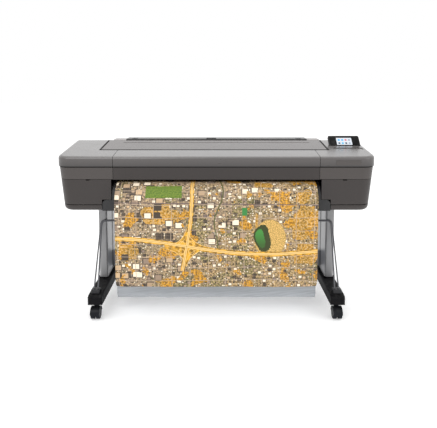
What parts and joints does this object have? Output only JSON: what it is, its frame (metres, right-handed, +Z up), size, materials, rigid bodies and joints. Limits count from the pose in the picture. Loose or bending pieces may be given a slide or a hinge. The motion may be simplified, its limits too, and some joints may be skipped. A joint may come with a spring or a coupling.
{
  "type": "large format plotter",
  "caption": "Floor-standing roll-fed wide inkjet plotter on a caster stand, with lifting window, roll cover, ink doors, sliding carriage, tilted touch panel and catch basket.",
  "frame": {"origin": "middle of the footprint at floor level", "axes": "+X to the machine's right as its user faces it, -Y towards the user at the front, +Z up"},
  "size_m": [1.802, 0.695, 0.998],
  "materials": {
    "shell_silver": "satin, fine texture",
    "window_smoke": "smooth, slightly milky",
    "shell_charcoal": "satin",
    "shell_grey": "satin",
    "stand_grey": "powder coat",
    "brace_grey": "powder coat",
    "foot_dark": "satin",
    "clip_grey": "satin",
    "caster_black": "satin",
    "caster_tread": "matt",
    "bolt_black": "black oxide",
    "wire_dark": "powder coat",
    "sling_cloth": "woven, light blue-grey",
    "paper_print": "printed, satin",
    "paper_blank": "plain",
    "screen_case": "gloss",
    "screen_face": "glossy touch surface",
    "plate_label": "satin",
    "chassis_steel": "zinc plated",
    "rail_alloy": "anodised",
    "roller_rubber": "matt",
    "gear_white": "natural moulding",
    "steel_bright": "ground",
    "inner_black": "matt",
    "carriage_grey": "matt",
    "head_blue": "satin",
    "cartridge_mix": "satin",
    "spindle_black": "satin",
    "hub_blue": "satin"
  },
  "bodies": {
    "machine": {"left_end_cap": "shell_silver", "right_end_cap": "shell_silver", "front_cover": "shell_silver", "left_side_cover": "shell_charcoal", "right_side_cover": "shell_charcoal", "front_lower_panel": "shell_charcoal", "base_pan": "shell_charcoal", "rear_cover": "shell_charcoal", "roll_supports": "shell_grey", "exit_guide": "inner_black", "platen": "inner_black", "power_inlet": "inner_black", "service_station": "inner_black", "cartridge_bays": "inner_black", "screen_pod": "inner_black", "left_column": "stand_grey", "right_column": "stand_grey", "cross_brace": "brace_grey", "left_foot": "foot_dark", "right_foot": "foot_dark", "rod_clips": "clip_grey", "brace_bolts": "bolt_black", "basket_hoops": "wire_dark", "basket_fabric": "sling_cloth", "printed_sheet": "paper_print", "screen_housing": "screen_case", "screen_glass": "screen_face", "nameplate": "plate_label", "chassis_frame": "chassis_steel", "top_brackets": "chassis_steel", "door_hinges": "chassis_steel", "lid_hinges": "chassis_steel", "electronics_box": "chassis_steel", "carriage_rail": "rail_alloy", "feed_motor": "steel_bright", "pinch_rollers": "steel_bright", "ink_cartridges": "cartridge_mix"},
    "window_lid": {"window": "window_smoke"},
    "roll_lid": {"roll_cover": "shell_grey", "cover_latch": "inner_black"},
    "left_door": {"left_ink_door": "shell_charcoal"},
    "right_door": {"right_ink_door": "shell_charcoal"},
    "print_carriage": {"carriage": "carriage_grey", "printheads": "head_blue"},
    "feed_shaft": {"feed_roller": "roller_rubber", "feed_gear": "gear_white"},
    "motor_pinion": {"feed_pinion": "steel_bright"},
    "roll_spindle": {"spindle": "spindle_black", "spindle_hubs": "hub_blue", "paper_roll": "paper_blank"},
    "rocker": {"power_switch": "inner_black"},
    "fork_left_front": {"caster_fork_left_front": "caster_black"},
    "wheels_left_front": {"caster_wheels_left_front": "caster_tread"},
    "fork_left_back": {"caster_fork_left_back": "caster_black"},
    "wheels_left_back": {"caster_wheels_left_back": "caster_tread"},
    "fork_right_front": {"caster_fork_right_front": "caster_black"},
    "wheels_right_front": {"caster_wheels_right_front": "caster_tread"},
    "fork_right_back": {"caster_fork_right_back": "caster_black"},
    "wheels_right_back": {"caster_wheels_right_back": "caster_tread"}
  },
  "joints": [
    {"name": "window_hinge", "type": "hinge", "parent": "machine", "child": "window_lid", "pos_m": [0, 0.14, 0.95154], "axis": [-1, 0, 0], "range_deg": [0, 65]},
    {"name": "roll_cover_hinge", "type": "hinge", "parent": "machine", "child": "roll_lid", "pos_m": [0, 0.292, 0.866], "axis": [-1, 0, 0], "range_deg": [0, 65]},
    {"name": "left_door_hinge", "type": "hinge", "parent": "machine", "child": "left_door", "pos_m": [-0.72, -0.248, 0.647], "axis": [1, 0, 0], "range_deg": [0, 75]},
    {"name": "right_door_hinge", "type": "hinge", "parent": "machine", "child": "right_door", "pos_m": [0.72, -0.248, 0.647], "axis": [1, 0, 0], "range_deg": [0, 75]},
    {"name": "carriage_slide", "type": "slide", "parent": "machine", "child": "print_carriage", "axis": [-1, 0, 0], "range_m": [0, 1.3]},
    {"name": "feed_roller_spin", "type": "hinge", "parent": "machine", "child": "feed_shaft", "pos_m": [0, 0.096, 0.746], "axis": [1, 0, 0], "continuous": true},
    {"name": "feed_pinion_spin", "type": "hinge", "parent": "machine", "child": "motor_pinion", "pos_m": [0.646, 0.138, 0.746], "axis": [1, 0, 0], "continuous": true},
    {"name": "spindle_spin", "type": "hinge", "parent": "machine", "child": "roll_spindle", "pos_m": [0, 0.226, 0.88], "axis": [1, 0, 0], "continuous": true},
    {"name": "power_rocker", "type": "hinge", "parent": "machine", "child": "rocker", "pos_m": [-0.39, 0.291, 0.7], "axis": [1, 0, 0], "range_deg": [-6, 6]},
    {"name": "caster_swivel_left_front", "type": "hinge", "parent": "machine", "child": "fork_left_front", "pos_m": [-0.68, -0.288, 0.09], "axis": [0, 0, 1], "continuous": true},
    {"name": "caster_wheel_left_front", "type": "hinge", "parent": "fork_left_front", "child": "wheels_left_front", "pos_m": [-0.68, -0.304, 0.032], "axis": [1, 0, 0], "continuous": true},
    {"name": "caster_swivel_left_back", "type": "hinge", "parent": "machine", "child": "fork_left_back", "pos_m": [-0.68, 0.288, 0.09], "axis": [0, 0, 1], "continuous": true},
    {"name": "caster_wheel_left_back", "type": "hinge", "parent": "fork_left_back", "child": "wheels_left_back", "pos_m": [-0.68, 0.304, 0.032], "axis": [1, 0, 0], "continuous": true},
    {"name": "caster_swivel_right_front", "type": "hinge", "parent": "machine", "child": "fork_right_front", "pos_m": [0.68, -0.288, 0.09], "axis": [0, 0, 1], "continuous": true},
    {"name": "caster_wheel_right_front", "type": "hinge", "parent": "fork_right_front", "child": "wheels_right_front", "pos_m": [0.68, -0.304, 0.032], "axis": [1, 0, 0], "continuous": true},
    {"name": "caster_swivel_right_back", "type": "hinge", "parent": "machine", "child": "fork_right_back", "pos_m": [0.68, 0.288, 0.09], "axis": [0, 0, 1], "continuous": true},
    {"name": "caster_wheel_right_back", "type": "hinge", "parent": "fork_right_back", "child": "wheels_right_back", "pos_m": [0.68, 0.304, 0.032], "axis": [1, 0, 0], "continuous": true}
  ],
  "couplings": [
    {"joint": "feed_pinion_spin", "follows": "feed_roller_spin", "ratio": -2.5}
  ]
}
